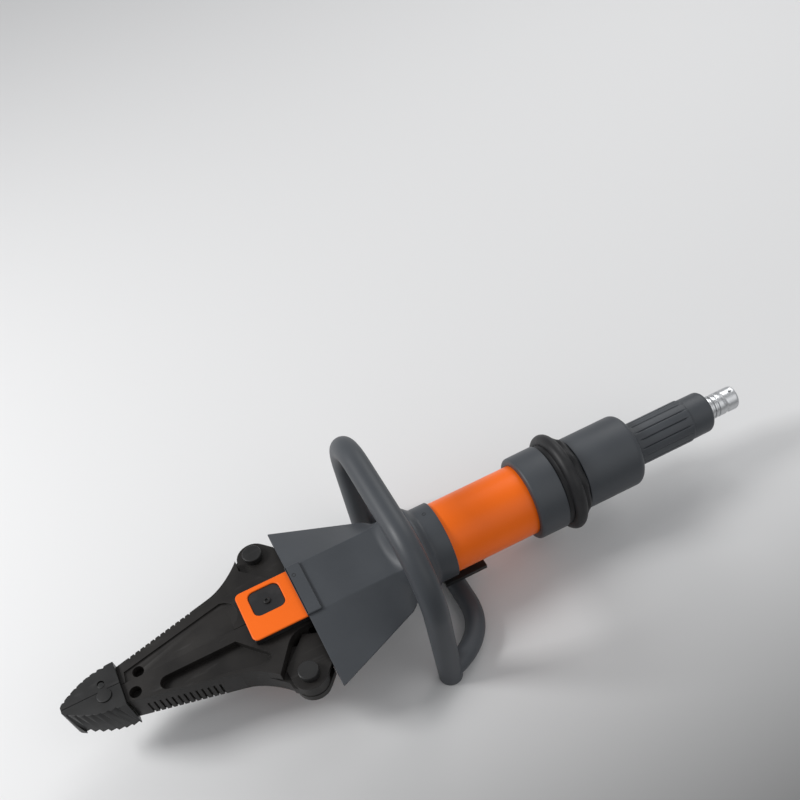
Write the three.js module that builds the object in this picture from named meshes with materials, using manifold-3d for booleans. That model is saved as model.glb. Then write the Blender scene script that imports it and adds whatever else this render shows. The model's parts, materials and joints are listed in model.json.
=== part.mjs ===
// Hydraulic rescue spreader. Millimetres, +Z up, +X towards the operator's grip, arms open in +Y and -Y.
// Pieces are first placed along the cylinder's axis, with x = 0 at the front of the control housing, and
// the finished group is then moved so that the origin is at the bottom centre of the bounding box.
import * as THREE from "three";
import { mergeVertices } from "three/addons/utils/BufferGeometryUtils.js";
import Module from "manifold-3d";

const wasm = await Module();
wasm.setup();

// ---- driving dimensions ----
const GAP = 0.3; // clearance between touching pieces
const TIP_FRONT = -512; // front of the closed tips
const COUPLER_END = 257; // rear of the hydraulic coupler
const FOOT_Z = -71.5; // underside of the loop handle's legs

const PIVOT_X = -280; // arm pivots in the yoke
const PIVOT_Y = 80;
const SWING = 60; // degrees that each arm opens
const CRANK = 68; // pivot to link pin
const LINK_LENGTH = 40;
const STROKE = 2 * CRANK * Math.sin(THREE.MathUtils.degToRad(SWING / 2)); // 68 mm piston stroke

const ARM_HALF = 15.5; // half the arms' thickness
const TIP_HALF = 20;
const LUG_LOW = -7.2; // thin pivot lug of an arm, between the yoke's ears
const LUG_HIGH = 3.0;
const EAR_TOP = 7.5;
const EAR_BOTTOM = -15;
const EAR_R = 18;
const PIN_R = 7.5;
const PIN_HEAD_R = 10.5;
const PIN_HEAD_TOP = 15;

const TUBE_R = 38.6; // cylinder
const BORE_R = 32;
const TUBE_FRONT = -126;
const TUBE_REAR = 4;
const ROD_R = 11;

const RIM_X = -256; // wide front rim of the cover
const RIM_Y = 107.7;
const NECK_X = -158; // where the cover's flat panels end
const NECK_Y = 64;
const PANEL_Y = 31.5; // half-width of the cover's flat top panel
const PANEL_Z = 26.5;
const SHOULDER_R = 48;
const COLLAR_R = 41.4;
const WALL = 3;

const LOOP_X = -151.3; // loop handle
const LOOP_Y = 109.5;
const LOOP_TOP = 108.7;
const LOOP_BEND = 66.5;
const LOOP_TUBE_R = 12.5;
const STRUT_R = 10.8;
const STRUT_X = -97;
const STRUT_Z = -58;

const HOUSING_R = 46.1; // control housing, ring and grip
const REAR_R = 39.7;
const RING_R = 53.6;
const GRIP_R = 23.8;
const COUPLER_R = 12.9;

const ROUND = 20; // sides of a round piece
const SMALL = 14;

// ---- materials ----
const GREY = { color: 0x45494e, roughness: 0.5, metalness: 0.2 };
const ORANGE = { color: 0xf26a1b, roughness: 0.35, metalness: 0.1 };
const BLACK = { color: 0x2c2c2d, roughness: 0.45, metalness: 0.5 };
const RUBBER = { color: 0x1d1e20, roughness: 0.8, metalness: 0 };
const STEEL = { color: 0xb9bcc0, roughness: 0.3, metalness: 1 };
const BRONZE = { color: 0x9a7440, roughness: 0.4, metalness: 1 };

const spreader = new THREE.Group();

// ---- helpers ----
function toSolid(geometry) {
  const bare = geometry.clone();
  bare.deleteAttribute("normal");
  bare.deleteAttribute("uv");
  const merged = mergeVertices(bare, 1e-4);
  const vertProperties = new Float32Array(merged.attributes.position.array);
  const triVerts = new Uint32Array(merged.index.array);
  return new wasm.Manifold(new wasm.Mesh({ numProp: 3, vertProperties, triVerts }));
}

function toGeometry(solid) {
  const mesh = solid.getMesh();
  const geometry = new THREE.BufferGeometry();
  geometry.setAttribute("position", new THREE.BufferAttribute(new Float32Array(mesh.vertProperties), 3));
  geometry.setIndex(new THREE.BufferAttribute(new Uint32Array(mesh.triVerts), 1));
  geometry.computeVertexNormals();
  return geometry;
}

function add(name, shape, look) {
  const geometry = shape.isBufferGeometry ? shape : toGeometry(shape);
  const mesh = new THREE.Mesh(geometry, new THREE.MeshStandardMaterial(look));
  mesh.name = name;
  spreader.add(mesh);
  return mesh;
}

// A flat outline in X and Y, raised from z0 to z1.
function plate(shape, z0, z1, curveSegments = 8) {
  const geometry = new THREE.ExtrudeGeometry(shape, { depth: z1 - z0, bevelEnabled: false, curveSegments });
  geometry.translate(0, 0, z0);
  return toSolid(geometry);
}

function block(x0, x1, y0, y1, z0, z1) {
  const geometry = new THREE.BoxGeometry(x1 - x0, Math.abs(y1 - y0), z1 - z0);
  geometry.translate((x0 + x1) / 2, (y0 + y1) / 2, (z0 + z1) / 2);
  return toSolid(geometry);
}

// A round bar standing along Z.
function post(x, y, z0, z1, radius, sides = SMALL) {
  const geometry = new THREE.CylinderGeometry(radius, radius, z1 - z0, sides);
  geometry.rotateX(Math.PI / 2);
  geometry.translate(x, y, (z0 + z1) / 2);
  return toSolid(geometry);
}

// A profile of [x, radius] points turned about the X axis.
function turned(profile, sides = ROUND) {
  const points = profile.map(([x, radius]) => new THREE.Vector2(radius, x));
  const geometry = new THREE.LatheGeometry(points, sides);
  geometry.rotateZ(-Math.PI / 2);
  return toSolid(geometry);
}

// A plain bar along X, with an optional bore.
function bar(x0, x1, radius, bore = 0, sides = ROUND) {
  if (bore === 0) {
    return turned([[x0, 0], [x0, radius], [x1, radius], [x1, 0]], sides);
  }
  return turned([[x0, bore], [x0, radius], [x1, radius], [x1, bore], [x0, bore]], sides);
}

function sweep(path, radius, sides, steps) {
  const section = new THREE.Shape();
  for (let i = 0; i < sides; i += 1) {
    const angle = (2 * Math.PI * i) / sides;
    const x = radius * Math.cos(angle);
    const y = radius * Math.sin(angle);
    if (i === 0) {
      section.moveTo(x, y);
    } else {
      section.lineTo(x, y);
    }
  }
  return new THREE.ExtrudeGeometry(section, { steps, extrudePath: path, bevelEnabled: false });
}

// Closed outline from points, with y multiplied by side.
function outline(points, side = 1) {
  const shape = new THREE.Shape();
  points.forEach(([x, y], i) => {
    if (i === 0) {
      shape.moveTo(x, y * side);
    } else {
      shape.lineTo(x, y * side);
    }
  });
  shape.closePath();
  return shape;
}

// Points of an arc, in degrees, ends included.
function arc(cx, cy, radius, from, to, steps) {
  const points = [];
  for (let i = 0; i <= steps; i += 1) {
    const angle = THREE.MathUtils.degToRad(from + ((to - from) * i) / steps);
    points.push([cx + radius * Math.cos(angle), cy + radius * Math.sin(angle)]);
  }
  return points;
}

function roundedRectangle(x0, x1, y0, y1, radius, steps = 4) {
  return [
    ...arc(x1 - radius, y1 - radius, radius, 0, 90, steps),
    ...arc(x0 + radius, y1 - radius, radius, 90, 180, steps),
    ...arc(x0 + radius, y0 + radius, radius, 180, 270, steps),
    ...arc(x1 - radius, y0 + radius, radius, 270, 360, steps),
  ];
}

function quadratic(start, control, end, steps) {
  const points = [];
  for (let i = 0; i <= steps; i += 1) {
    const t = i / steps;
    const a = (1 - t) * (1 - t);
    const b = 2 * t * (1 - t);
    const c = t * t;
    points.push([a * start[0] + b * control[0] + c * end[0], a * start[1] + b * control[1] + c * end[1]]);
  }
  return points;
}

// ---- arms ----
// Every arm point is given for the arm on the +Y side, and side = -1 mirrors it.
const ARM_FRONT = -450;
const TIP_REAR = ARM_FRONT - GAP;
const FLANK_SLOPE = 0.247; // rise of the toothed flank per millimetre of x
const FLANK_Y = 22.2; // flank at ARM_FRONT
const FLANK_END = -341;
const LINK_PIN_X = PIVOT_X + CRANK * Math.sin(THREE.MathUtils.degToRad(SWING / 2));
const LINK_PIN_Y = PIVOT_Y - CRANK * Math.cos(THREE.MathUtils.degToRad(SWING / 2));
const EYE_R = 11;
const INNER_R = PIVOT_Y - GAP; // the rear inner edge keeps this radius, so that the two arms never meet
const FORK_Z = 6.5; // half-height of the slot that takes the link
const CROSS_PIN_R = 3.5; // pins in the crosshead
const CROSS_PIN_Y = LINK_PIN_Y - 4.55; // midway along the link's sideways travel
const SIDE_PLAY = 5; // room for that travel in the link's rear eye
const LINK_EYE_Y = 11.3;

function flankY(x) {
  return FLANK_Y + (x - ARM_FRONT) * FLANK_SLOPE;
}

function armBody(side) {
  const rearInner = arc(PIVOT_X, PIVOT_Y, INNER_R, -66, -90, 5);
  const eye = arc(LINK_PIN_X, LINK_PIN_Y, EYE_R, 100, -40, 8);
  const shoulder = quadratic([FLANK_END, flankY(FLANK_END)], [-324, 53.4], [-305.5, 71.7], 7);
  const recessCorner = quadratic([-286, 43.9], [-281, 36.5], [-272, 34], 4);
  const points = [[ARM_FRONT, GAP], [ARM_FRONT, FLANK_Y], ...shoulder, ...recessCorner, ...eye, ...rearInner];
  return plate(outline(points, side), -ARM_HALF, ARM_HALF);
}

// Thin lug around the pivot, between the two ears of the yoke.
function pivotLug(side) {
  const ear = arc(PIVOT_X, PIVOT_Y, EAR_R - 0.5, 150, -25, 12);
  const points = [[-318, 60.5], [-301.7, 77], [-300, 84.5], ...ear, [-275, 45], [-287, 39]];
  return plate(outline(points, side), LUG_LOW, LUG_HIGH);
}

// On one face the full thickness runs right up to the yoke's ear. On the other face a shelf at the lug's
// height is left beside it.
function besideEar(side) {
  const outer = [[-318, 57], [-305.5, 71.7], [-301.7, 75.8], [-299, 79.2]];
  const alongEar = [[-299.9, 65.1], [-270.8, 34.4], [-272, 30], [-300, 40]];
  const shape = outline([...outer, ...alongEar], side);
  return side > 0 ? plate(shape, LUG_HIGH - 1, ARM_HALF) : plate(shape, -ARM_HALF, LUG_LOW + 1);
}

const TOOTH_COUNT = 13;
const TOOTH_PITCH = 5.9;
const TOOTH_START = -434;

// V grooves across the outer flank. They reach from one face to a little past the middle of the thickness.
function flankGrooves(side) {
  const low = side > 0 ? -4 : -ARM_HALF - 1;
  const high = side > 0 ? ARM_HALF + 1 : 4;
  let grooves = null;
  for (let i = 0; i < TOOTH_COUNT; i += 1) {
    const x = TOOTH_START + i * TOOTH_PITCH;
    const root = [x, flankY(x) - 2.2];
    const points = [root, [x + 1.6, flankY(x + 1.6) + 1], [x - 1.6, flankY(x - 1.6) + 1]];
    const groove = plate(outline(points, side), low, high);
    grooves = grooves ? grooves.add(groove) : groove;
  }
  return grooves;
}

// Shallow recess that leaves a rib along the toothed flank.
function innerRecess(side) {
  const corner = arc(-335, 21, 17, 80, -60, 7);
  return outline([[-446, -1], [-444, 12.4], ...corner, [-329, -1]], side);
}

// Deeper recess that leaves a rib along the parting plane.
function outerRecess(side) {
  const front = arc(-407, 21.5, 8, 120, 270, 6);
  const rear = quadratic([-307, 42], [-301, 53], [-315, 52.5], 5);
  return outline([...front, [-332, 13.5], ...rear, [-345, 44.3]], side);
}

const SHALLOW = 2;
const DEEP = 8;

// ---- tips ----
const STEP_COUNT = 7;
const STEP_PITCH = 7.6;
const STEP_FRONT = -508.5;
const STEP_RISE = 2.4; // least height of a step on the tip's outer edge
const STEP_LEAN = 0.2; // the steps lean rearwards towards the lower face

function tipHalfWidth(x) {
  const forward = (TIP_REAR - x) / (TIP_REAR - TIP_FRONT);
  return 27 - 22 * forward ** 2.2;
}

// What is cut away in front of one step: a long shallow run, then a steep rise to the full width.
function tipStep(x, side) {
  const front = tipHalfWidth(x);
  const rear = tipHalfWidth(x + STEP_PITCH);
  const root = Math.min(front - 0.3, rear - STEP_RISE);
  const rise = x + STEP_PITCH;
  const points = [[x, front], [rise - 1.6, root], [rise, rear], [rise, rear + 6], [x, rear + 6]];
  const geometry = new THREE.ExtrudeGeometry(outline(points, side), {
    depth: 2 * TIP_HALF + 2,
    bevelEnabled: false,
  });
  geometry.translate(0, 0, -TIP_HALF - 1);
  geometry.applyMatrix4(new THREE.Matrix4().makeShear(0, 0, 0, 0, -STEP_LEAN, 0));
  return toSolid(geometry);
}

for (const side of [1, -1]) {
  const hand = side > 0 ? "right" : "left";
  const faceUp = side > 0 ? 1 : -1; // the shallow recess faces up on the right arm and down on the left one
  const up = (shape, depth) => plate(shape, ARM_HALF - depth, ARM_HALF + 1);
  const down = (shape, depth) => plate(shape, -ARM_HALF - 1, -ARM_HALF + depth);
  const shallowCut = faceUp > 0 ? up(innerRecess(side), SHALLOW) : down(innerRecess(side), SHALLOW);
  const deepCut = faceUp > 0 ? down(outerRecess(side), DEEP) : up(outerRecess(side), DEEP);
  const midHole = post(-431, 6.8 * side, faceUp > 0 ? 3 : -17, faceUp > 0 ? 17 : -3, 6.2);
  const flankHole = post(-439.5, 15.5 * side, faceUp > 0 ? -17 : 6, faceUp > 0 ? -6 : 17, 6.6);
  const tongue = block(-484, ARM_FRONT + 2, 4 * side, 13.5 * side, -8, 8);
  const fork = block(-262, -230, 6 * side, 40 * side, -FORK_Z, FORK_Z);
  const arm = armBody(side)
    .subtract(flankGrooves(side))
    .subtract(shallowCut)
    .subtract(deepCut)
    .subtract(midHole)
    .subtract(flankHole)
    .subtract(fork)
    .add(pivotLug(side))
    .add(besideEar(side))
    .add(tongue)
    .subtract(post(PIVOT_X, PIVOT_Y * side, -20, 20, PIN_R + 2 + GAP, 24))
    .subtract(post(LINK_PIN_X, LINK_PIN_Y * side, -20, 20, 5 + GAP))
    .subtract(post(-468, 8.5 * side, -20, 20, 3.5 + GAP));
  add(`${hand}_arm`, arm, BLACK);

  // toothed tip, held on the arm's tongue by a lock pin
  const tipEdge = [];
  for (let i = 0; i <= 8; i += 1) {
    const x = TIP_FRONT + 2 + ((TIP_REAR - TIP_FRONT - 2) * i) / 8;
    tipEdge.push([x, tipHalfWidth(x)]);
  }
  const tipPoints = [[TIP_FRONT, GAP], [TIP_FRONT, 3.5], ...tipEdge, [TIP_REAR, GAP]];
  let tip = plate(outline(tipPoints, side), -TIP_HALF, TIP_HALF);
  for (let i = 0; i < STEP_COUNT; i += 1) {
    tip = tip.subtract(tipStep(STEP_FRONT + i * STEP_PITCH, side));
  }
  tip = tip
    .subtract(block(-484.5, -440, 3.6 * side, 13.9 * side, -8.4, 8.4))
    .subtract(post(-468, 8.5 * side, -TIP_HALF - 1, TIP_HALF + 1, 3.5 + GAP));
  add(`${hand}_tip`, tip, BLACK);

  // lock pin: its wide head lies on the tip's face, above on the left tip and below on the right one
  const headLow = side > 0 ? -TIP_HALF - 1.4 : TIP_HALF + GAP;
  const headHigh = side > 0 ? -TIP_HALF - GAP : TIP_HALF + 1.4;
  const lockPin = post(-468, 8.5 * side, -TIP_HALF - 0.5, TIP_HALF + 0.5, 3.5).add(
    post(-468, 6.5 * side, headLow, headHigh, 7.5, 24),
  );
  add(`${hand}_tip_pin`, lockPin, BLACK);

  // pivot pin, its nut and its bush
  const pivotPin = post(PIVOT_X, PIVOT_Y * side, -20, EAR_TOP + 0.5, PIN_R, 24).add(
    post(PIVOT_X, PIVOT_Y * side, EAR_TOP + GAP, PIN_HEAD_TOP, PIN_HEAD_R, 24),
  );
  add(`${hand}_pivot_pin`, pivotPin, BLACK);
  const nut = post(PIVOT_X, PIVOT_Y * side, -21, EAR_BOTTOM - GAP, 11.5, 6).subtract(
    post(PIVOT_X, PIVOT_Y * side, -30, 0, PIN_R + GAP, 24),
  );
  add(`${hand}_pivot_nut`, nut, BLACK);
  const bush = post(PIVOT_X, PIVOT_Y * side, LUG_LOW, LUG_HIGH, PIN_R + 2, 24).subtract(
    post(PIVOT_X, PIVOT_Y * side, -20, 20, PIN_R + GAP / 2, 24),
  );
  add(`${hand}_pivot_bush`, bush, BRONZE);

  // link from the arm's rear fork to the crosshead, with its front pin
  const linkRear = LINK_PIN_X + LINK_LENGTH;
  const rearEye = roundedRectangle(
    linkRear - 9, linkRear + 9, LINK_PIN_Y - LINK_EYE_Y, LINK_PIN_Y + LINK_EYE_Y, 6,
  );
  const rearSlot = roundedRectangle(
    linkRear - CROSS_PIN_R - 0.9,
    linkRear + CROSS_PIN_R + 0.9,
    LINK_PIN_Y - CROSS_PIN_R - SIDE_PLAY,
    LINK_PIN_Y + CROSS_PIN_R + SIDE_PLAY,
    3,
  );
  const low = -FORK_Z + 0.5;
  const high = FORK_Z - 0.5;
  const link = post(LINK_PIN_X, LINK_PIN_Y * side, low, high, 9)
    .add(block(LINK_PIN_X, linkRear - 4, (LINK_PIN_Y - 7) * side, (LINK_PIN_Y + 7) * side, low, high))
    .add(plate(outline(rearEye, side), low, high))
    .subtract(post(LINK_PIN_X, LINK_PIN_Y * side, -20, 20, 5 + GAP / 2))
    .subtract(plate(outline(rearSlot, side), -9, 9));
  add(`${hand}_link`, link, STEEL);
  add(`${hand}_link_pin`, post(LINK_PIN_X, LINK_PIN_Y * side, -ARM_HALF, ARM_HALF, 5), STEEL);
}

// ---- piston rod and crosshead ----
const CROSS_PIN_X = LINK_PIN_X + LINK_LENGTH; // pins that the links swing on
const PISTON_X = -31; // front of the piston with the arms closed
const PISTON_LENGTH = 15;
const CROSS_FRONT = CROSS_PIN_X - 12;
const CROSS_REAR = CROSS_PIN_X + 23;
const CROSS_Y = 30;

let crosshead = block(CROSS_FRONT, CROSS_REAR, -CROSS_Y, CROSS_Y, -14, 14)
  .subtract(block(CROSS_FRONT - 1, CROSS_PIN_X + 10.5, -CROSS_Y - 1, CROSS_Y + 1, -FORK_Z, FORK_Z))
  .subtract(bar(CROSS_REAR - 10, CROSS_REAR + 1, ROD_R - 2 + GAP));
for (const side of [1, -1]) {
  crosshead = crosshead.subtract(post(CROSS_PIN_X, CROSS_PIN_Y * side, -20, 20, CROSS_PIN_R + GAP));
}
add("crosshead", crosshead, STEEL);
for (const side of [1, -1]) {
  const hand = side > 0 ? "right" : "left";
  add(`${hand}_crosshead_pin`, post(CROSS_PIN_X, CROSS_PIN_Y * side, -14, 14, CROSS_PIN_R), STEEL);
}

const rod = turned([
  [CROSS_REAR - 9, 0],
  [CROSS_REAR - 9, ROD_R - 2],
  [CROSS_REAR + GAP, ROD_R - 2],
  [CROSS_REAR + GAP, ROD_R],
  [PISTON_X - GAP, ROD_R],
  [PISTON_X - GAP, ROD_R - 3],
  [PISTON_X + PISTON_LENGTH + 8, ROD_R - 3],
  [PISTON_X + PISTON_LENGTH + 8, 0],
]);
add("piston_rod", rod, STEEL);
const piston = turned([
  [PISTON_X, ROD_R - 3 + GAP],
  [PISTON_X, BORE_R - GAP],
  [PISTON_X + 5, BORE_R - GAP],
  [PISTON_X + 5, BORE_R - 4],
  [PISTON_X + 10, BORE_R - 4],
  [PISTON_X + 10, BORE_R - GAP],
  [PISTON_X + PISTON_LENGTH, BORE_R - GAP],
  [PISTON_X + PISTON_LENGTH, ROD_R - 3 + GAP],
  [PISTON_X, ROD_R - 3 + GAP],
]);
add("piston", piston, STEEL);
add("piston_seal", bar(PISTON_X + 5.3, PISTON_X + 9.7, BORE_R - 0.2, BORE_R - 3.7), RUBBER);
const rodNut = bar(PISTON_X + PISTON_LENGTH + GAP, PISTON_X + PISTON_LENGTH + 7, 14, ROD_R - 3 + GAP);
add("piston_nut", rodNut, STEEL);

// ---- cover: a shell from a wide six-sided mouth to a round collar ----
const CORNER_ANGLE = Math.atan2(PANEL_Z, PANEL_Y);
const SIDE_STEPS = 4;
const TOP_STEPS = 4;

// One ring of points. tipY, panelY and panelZ give the six-sided section, radius the round one, and
// roundness blends the first into the second.
function coverRing(x, tipY, panelY, panelZ, radius, roundness) {
  const blend = (straight, angle) => [
    straight[0] + (radius * Math.cos(angle) - straight[0]) * roundness,
    straight[1] + (radius * Math.sin(angle) - straight[1]) * roundness,
  ];
  const quarter = [];
  for (let i = 0; i <= SIDE_STEPS; i += 1) {
    const t = i / SIDE_STEPS;
    quarter.push(blend([tipY + (panelY - tipY) * t, panelZ * t], CORNER_ANGLE * t));
  }
  for (let i = 1; i <= TOP_STEPS; i += 1) {
    const t = i / TOP_STEPS;
    quarter.push(blend([panelY * (1 - t), panelZ], CORNER_ANGLE + (Math.PI / 2 - CORNER_ANGLE) * t));
  }
  const back = quarter.slice(0, -1).reverse();
  return [
    ...quarter,
    ...back.map(([y, z]) => [-y, z]),
    ...quarter.slice(1).map(([y, z]) => [-y, -z]),
    ...back.slice(0, -1).map(([y, z]) => [y, -z]),
  ].map(([y, z]) => [x, y, z]);
}

// Closed skin over a row of rings. It returns to the first ring, or is capped flat at both ends. Each
// four-sided patch is split along the same diagonal whichever way the rings run, so skins stay parallel.
function loft(rings, capped) {
  const count = rings[0].length;
  const positions = rings.flat(2);
  const index = [];
  const last = capped ? rings.length - 1 : rings.length;
  for (let r = 0; r < last; r += 1) {
    const next = (r + 1) % rings.length;
    const rearward = rings[next][0][0] > rings[r][0][0];
    for (let i = 0; i < count; i += 1) {
      const j = (i + 1) % count;
      const [a, b, c, d] = [r * count + i, r * count + j, next * count + j, next * count + i];
      if (rearward) {
        index.push(a, b, c, a, c, d);
      } else {
        index.push(a, b, d, b, c, d);
      }
    }
  }
  if (capped) {
    const front = positions.length / 3;
    positions.push(rings[0][0][0], 0, 0, rings[last][0][0], 0, 0);
    for (let i = 0; i < count; i += 1) {
      const j = (i + 1) % count;
      index.push(front, j, i);
      index.push(front + 1, last * count + i, last * count + j);
    }
  }
  const geometry = new THREE.BufferGeometry();
  geometry.setAttribute("position", new THREE.BufferAttribute(new Float32Array(positions), 3));
  geometry.setIndex(index);
  return toSolid(geometry);
}

const COLLAR_REAR = -97.6;
const RIM_INNER_Y = RIM_Y - 8.5;
const NECK_INNER_Y = NECK_Y - 6;
const SHOULDER_INNER_R = SHOULDER_R - WALL - 0.5;
const outerRings = [
  coverRing(RIM_X, RIM_Y, PANEL_Y, PANEL_Z, SHOULDER_R, 0),
  coverRing(NECK_X, NECK_Y, PANEL_Y, PANEL_Z, SHOULDER_R, 0),
  coverRing(-147, 57, PANEL_Y, PANEL_Z, SHOULDER_R, 0.45),
  coverRing(-138, 53, PANEL_Y, PANEL_Z, SHOULDER_R, 1),
  coverRing(TUBE_FRONT, 53, PANEL_Y, PANEL_Z, SHOULDER_R, 1),
  coverRing(-116, 53, PANEL_Y, PANEL_Z, COLLAR_R, 1),
  coverRing(COLLAR_REAR, 53, PANEL_Y, PANEL_Z, COLLAR_R, 1),
];
const innerRings = [
  coverRing(COLLAR_REAR, 53, PANEL_Y, PANEL_Z, TUBE_R + GAP, 1),
  coverRing(-119, 53, PANEL_Y, PANEL_Z, TUBE_R + GAP, 1),
  coverRing(TUBE_FRONT - 1, 53, PANEL_Y, PANEL_Z, SHOULDER_INNER_R, 1),
  coverRing(-140, 53, PANEL_Y, PANEL_Z, SHOULDER_INNER_R, 1),
  coverRing(-150, 54, PANEL_Y - 1, PANEL_Z - WALL, SHOULDER_R - WALL, 0.35),
  coverRing(NECK_X, NECK_INNER_Y, PANEL_Y - 1, PANEL_Z - WALL, SHOULDER_R, 0),
  coverRing(RIM_X, RIM_INNER_Y, PANEL_Y - 1, PANEL_Z - WALL, SHOULDER_R, 0),
];
const GUARD_LOW = 23.1; // guard plates, whose rear edges lie under the cover's lips
const GUARD_HIGH = 25.3;
const LIP_Z = 29.2;
const LIP_X = -244.5;
const lips = block(RIM_X, LIP_X, -32.3, 32.3, PANEL_Z - 2, LIP_Z).add(
  block(RIM_X, LIP_X, -32.3, 32.3, -LIP_Z, -PANEL_Z + 2),
);
const lipRoom = block(RIM_X - 1, LIP_X - 1.5, -31.3, 31.3, -GUARD_HIGH - GAP, GUARD_HIGH + GAP);
const cover = loft([...outerRings, ...innerRings], false)
  .add(lips)
  .subtract(lipRoom)
  .subtract(post(-251.3, 18.6, 20, 32, 2.2 + GAP))
  .subtract(post(-105, 8, 30, 45, 1.8));
add("cover", cover, GREY);
add("cover_lip_screw", post(-251.3, 18.6, GUARD_HIGH + 0.6, LIP_Z - 1, 2.2), BLACK);

// ---- yoke: two plates with an ear at each pivot, joined by the flange that closes the cylinder ----
const HOLLOW_REAR = CROSS_REAR + 2; // end of the hollow that the crosshead slides in
const FLANGE_FRONT = TUBE_FRONT - 14;
const GLAND_REAR = -101;
const YOKE_OUTER = [...arc(PIVOT_X, PIVOT_Y, EAR_R, 180, 41, 12), [-238, 60], [-185, 47], [FLANGE_FRONT, 40]];
const YOKE_INNER = [[HOLLOW_REAR, 38], [-240, 42], [-258, 41], [-269.6, 35.5], [-299, 65.4]];

function yokePlate(z0, z1) {
  const mirrored = (points) => points.map(([x, y]) => [x, -y]).reverse();
  const points = [...YOKE_OUTER, ...mirrored(YOKE_OUTER), ...mirrored(YOKE_INNER), ...YOKE_INNER];
  return plate(outline(points), z0, z1);
}

// Solid rail between the two plates, behind the ears.
function yokeRail(side) {
  const outer = [[-252, 44], [-252, 76], [-238, 60], [-185, 47], [HOLLOW_REAR, 47]];
  const points = [...outer, [HOLLOW_REAR, 38], [-240, 42]];
  return plate(outline(points, side), EAR_BOTTOM, EAR_TOP);
}

const coverRoom = loft([
  coverRing(RIM_X - 1, RIM_INNER_Y - 0.8, PANEL_Y - 1, PANEL_Z - WALL - 0.4, SHOULDER_R, 0),
  coverRing(NECK_X, NECK_INNER_Y - 1, PANEL_Y - 1, PANEL_Z - WALL - 0.4, SHOULDER_R, 0),
  coverRing(-150, 53, PANEL_Y - 2, PANEL_Z - WALL - 0.4, SHOULDER_R - WALL - 1, 0.35),
  coverRing(-140, 53, PANEL_Y, PANEL_Z, SHOULDER_INNER_R - 0.5, 1),
  coverRing(TUBE_FRONT - 1, 53, PANEL_Y, PANEL_Z, SHOULDER_INNER_R - 0.5, 1),
], true);
const yoke = yokePlate(LUG_HIGH + GAP, EAR_TOP)
  .add(yokePlate(EAR_BOTTOM, LUG_LOW - GAP))
  .add(yokeRail(1))
  .add(yokeRail(-1))
  .add(block(HOLLOW_REAR, FLANGE_FRONT + 1, -40, 40, -20, 20))
  .intersect(coverRoom.add(block(-330, RIM_X - 0.6, -120, 120, -30, 30)))
  .add(bar(FLANGE_FRONT, TUBE_FRONT - GAP, 43.5))
  .add(bar(TUBE_FRONT - 2, GLAND_REAR, BORE_R - GAP))
  .subtract(bar(HOLLOW_REAR - 5, GLAND_REAR + 1, ROD_R + 2.6))
  .subtract(post(PIVOT_X, PIVOT_Y, -30, 30, PIN_R + GAP, 24))
  .subtract(post(PIVOT_X, -PIVOT_Y, -30, 30, PIN_R + GAP, 24));
add("yoke", yoke, BLACK);
const GUIDE_OUTER = ROD_R + 2.3;
const GUIDE_INNER = ROD_R + 0.2;
add("rod_wiper", bar(HOLLOW_REAR + 1, HOLLOW_REAR + 6, GUIDE_OUTER, GUIDE_INNER), RUBBER);
add("rod_guide", bar(HOLLOW_REAR + 6 + GAP, GLAND_REAR - 8, GUIDE_OUTER, GUIDE_INNER), BRONZE);
add("rod_seal", bar(GLAND_REAR - 8 + GAP, GLAND_REAR - 1, GUIDE_OUTER, GUIDE_INNER), RUBBER);

// ---- guard plates over the arm roots ----
const GUARD_FRONT = -315;
const GUARD_REAR = -246.5;
const PAD_LOW = 16.2; // just clear of the arms' faces
const WINDOW = { x0: -303.6, x1: -269.4, y0: -5.6, y1: 25.5, radius: 7 };

for (const [name, face] of [["upper", 1], ["lower", -1]]) {
  const front = [
    ...arc(GUARD_FRONT + 6, 25, 6, 90, 180, 4),
    ...arc(GUARD_FRONT + 6, -25, 6, 180, 270, 4),
  ];
  const level = (z0, z1) => [Math.min(z0 * face, z1 * face), Math.max(z0 * face, z1 * face)];
  const edge = outline([...front, [GUARD_REAR, -31], [GUARD_REAR, 31]]);
  const window = roundedRectangle(WINDOW.x0, WINDOW.x1, WINDOW.y0, WINDOW.y1, WINDOW.radius);
  const guard = plate(edge, ...level(GUARD_LOW, GUARD_HIGH))
    .subtract(plate(outline(window, face), ...level(GUARD_LOW - 1, GUARD_HIGH + 1)));
  add(`${name}_guard_plate`, guard, ORANGE);

  // pad under the plate, with a boss that fills the plate's window
  const boss = roundedRectangle(
    WINDOW.x0 + GAP, WINDOW.x1 - GAP, WINDOW.y0 + GAP, WINDOW.y1 - GAP, WINDOW.radius,
  );
  const pad = block(GUARD_FRONT + 1.5, GUARD_REAR - 0.5, -30, 30, ...level(PAD_LOW, GUARD_LOW - GAP))
    .add(plate(outline(boss, face), ...level(PAD_LOW, GUARD_HIGH - 1.3)))
    .subtract(post(-286.5, 8 * face, ...level(PAD_LOW + 1, GUARD_HIGH + 1), 2 + GAP));
  add(`${name}_guard_insert`, pad, BLACK);
  const screw = post(-286.5, 8 * face, ...level(GUARD_HIGH - 1, GUARD_HIGH + 0.7), 3.6)
    .add(post(-286.5, 8 * face, ...level(PAD_LOW + 1.5, GUARD_HIGH), 2));
  add(`${name}_guard_screw`, screw, BLACK);
}

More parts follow.
